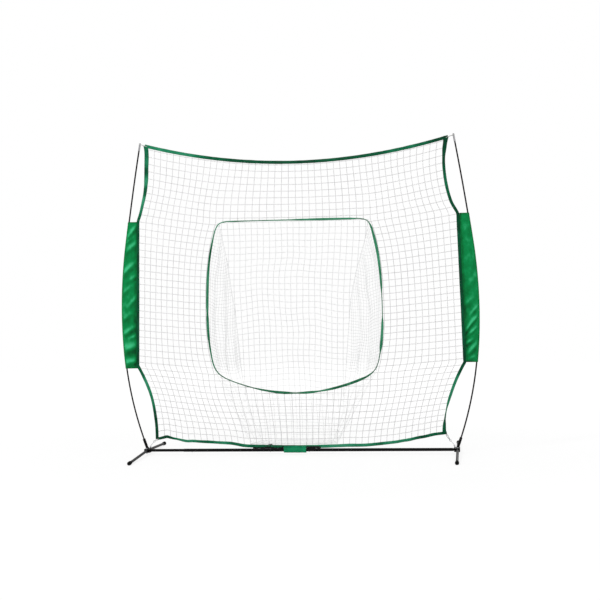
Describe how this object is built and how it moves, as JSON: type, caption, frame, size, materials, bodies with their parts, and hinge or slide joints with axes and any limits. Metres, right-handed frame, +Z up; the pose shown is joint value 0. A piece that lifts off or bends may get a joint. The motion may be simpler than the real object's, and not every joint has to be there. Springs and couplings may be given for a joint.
{
  "type": "pitching target net",
  "caption": "Free-standing pitching practice net: bowed poles in a folding tube base stretch a square net with a target hole and a catch pocket behind it.",
  "frame": {"origin": "on the ground under the middle of the base bar, midway between the leg pivots", "axes": "+X across the net to its right side as the pitcher sees it, -Y towards the pitcher, +Y towards the catch pocket, +Z up"},
  "size_m": [2.4678, 1.0504, 2.1599],
  "materials": {
    "black_steel": "satin black powder coat",
    "zinc_steel": "bright zinc plated",
    "foot_rubber": "matt black rubber",
    "bush_plastic": "black moulded plastic",
    "glass_fibre": "black glass fibre, smooth",
    "aluminium": "plain aluminium, satin",
    "white_net": "white knotless net cord",
    "green_binding": "green woven binding tape",
    "dark_green_binding": "dark green woven binding tape",
    "green_fabric": "green coated woven fabric, slight sheen",
    "grey_cord": "light grey braided elastic cord",
    "black_tape": "black hook tape and cord"
  },
  "bodies": {
    "stand": {"left_corner_bracket": "black_steel", "right_corner_bracket": "black_steel", "left_corner_tube": "black_steel", "right_corner_tube": "black_steel", "left_bar_tube": "black_steel", "right_bar_tube": "black_steel", "bar_spigot": "black_steel", "left_button_spring": "zinc_steel", "centre_button_spring": "zinc_steel", "leg_pivot_bolts": "zinc_steel", "leg_pivot_nuts": "zinc_steel", "leg_pivot_washers": "zinc_steel", "left_pole_socket": "black_steel", "right_pole_socket": "black_steel", "left_socket_bush": "bush_plastic", "right_socket_bush": "bush_plastic", "left_pole_lower": "glass_fibre", "left_pole_middle": "glass_fibre", "left_pole_upper": "glass_fibre", "right_pole_lower": "glass_fibre", "right_pole_middle": "glass_fibre", "right_pole_upper": "glass_fibre", "left_pole_ferrules": "aluminium", "right_pole_ferrules": "aluminium", "left_pole_tip": "aluminium", "right_pole_tip": "aluminium", "front_net": "white_net", "pocket_back": "white_net", "pocket_left_side": "white_net", "pocket_right_side": "white_net", "pocket_floor": "white_net", "top_edge_band": "green_binding", "bottom_edge_band": "green_binding", "left_edge_band": "dark_green_binding", "right_edge_band": "dark_green_binding", "target_hole_band": "green_binding", "left_pole_sleeve": "green_fabric", "right_pole_sleeve": "green_fabric", "left_corner_loop": "grey_cord", "right_corner_loop": "grey_cord", "left_elastic": "grey_cord", "right_elastic": "grey_cord", "left_corner_hook": "black_steel", "right_corner_hook": "black_steel", "left_tie_eye": "black_steel", "right_tie_eye": "black_steel", "bar_strap": "green_binding", "hook_tape": "black_tape", "bar_tie": "black_tape"},
    "front_left_leg_set": {"front_left_leg": "black_steel", "front_left_foot": "foot_rubber"},
    "front_right_leg_set": {"front_right_leg": "black_steel", "front_right_foot": "foot_rubber"},
    "rear_left_leg_set": {"rear_left_leg": "black_steel", "rear_left_foot": "foot_rubber"},
    "rear_right_leg_set": {"rear_right_leg": "black_steel", "rear_right_foot": "foot_rubber"},
    "left_button": {"left_snap_button": "zinc_steel"},
    "centre_button": {"centre_snap_button": "zinc_steel"}
  },
  "joints": [
    {"name": "front_left_leg_fold", "type": "hinge", "parent": "stand", "child": "front_left_leg_set", "pos_m": [-1.07, -0.026, 0.03], "axis": [0, 0, 1], "range_deg": [0, 90]},
    {"name": "front_right_leg_fold", "type": "hinge", "parent": "stand", "child": "front_right_leg_set", "pos_m": [1.07, -0.026, 0.03], "axis": [0, 0, 1], "range_deg": [-90, 0]},
    {"name": "rear_left_leg_fold", "type": "hinge", "parent": "stand", "child": "rear_left_leg_set", "pos_m": [-1.07, 0.026, 0.03], "axis": [0, 0, 1], "range_deg": [-90, 0]},
    {"name": "rear_right_leg_fold", "type": "hinge", "parent": "stand", "child": "rear_right_leg_set", "pos_m": [1.07, 0.026, 0.03], "axis": [0, 0, 1], "range_deg": [0, 90]},
    {"name": "left_button_press", "type": "slide", "parent": "stand", "child": "left_button", "axis": [0, 0, 1], "range_m": [0, 0.00475], "stiffness_N_per_m": 2000, "springref_m": -0.002, "deforming": ["left_button_spring"]},
    {"name": "centre_button_press", "type": "slide", "parent": "stand", "child": "centre_button", "axis": [0, 0, 1], "range_m": [0, 0.00475], "stiffness_N_per_m": 2000, "springref_m": -0.002, "deforming": ["centre_button_spring"]}
  ]
}
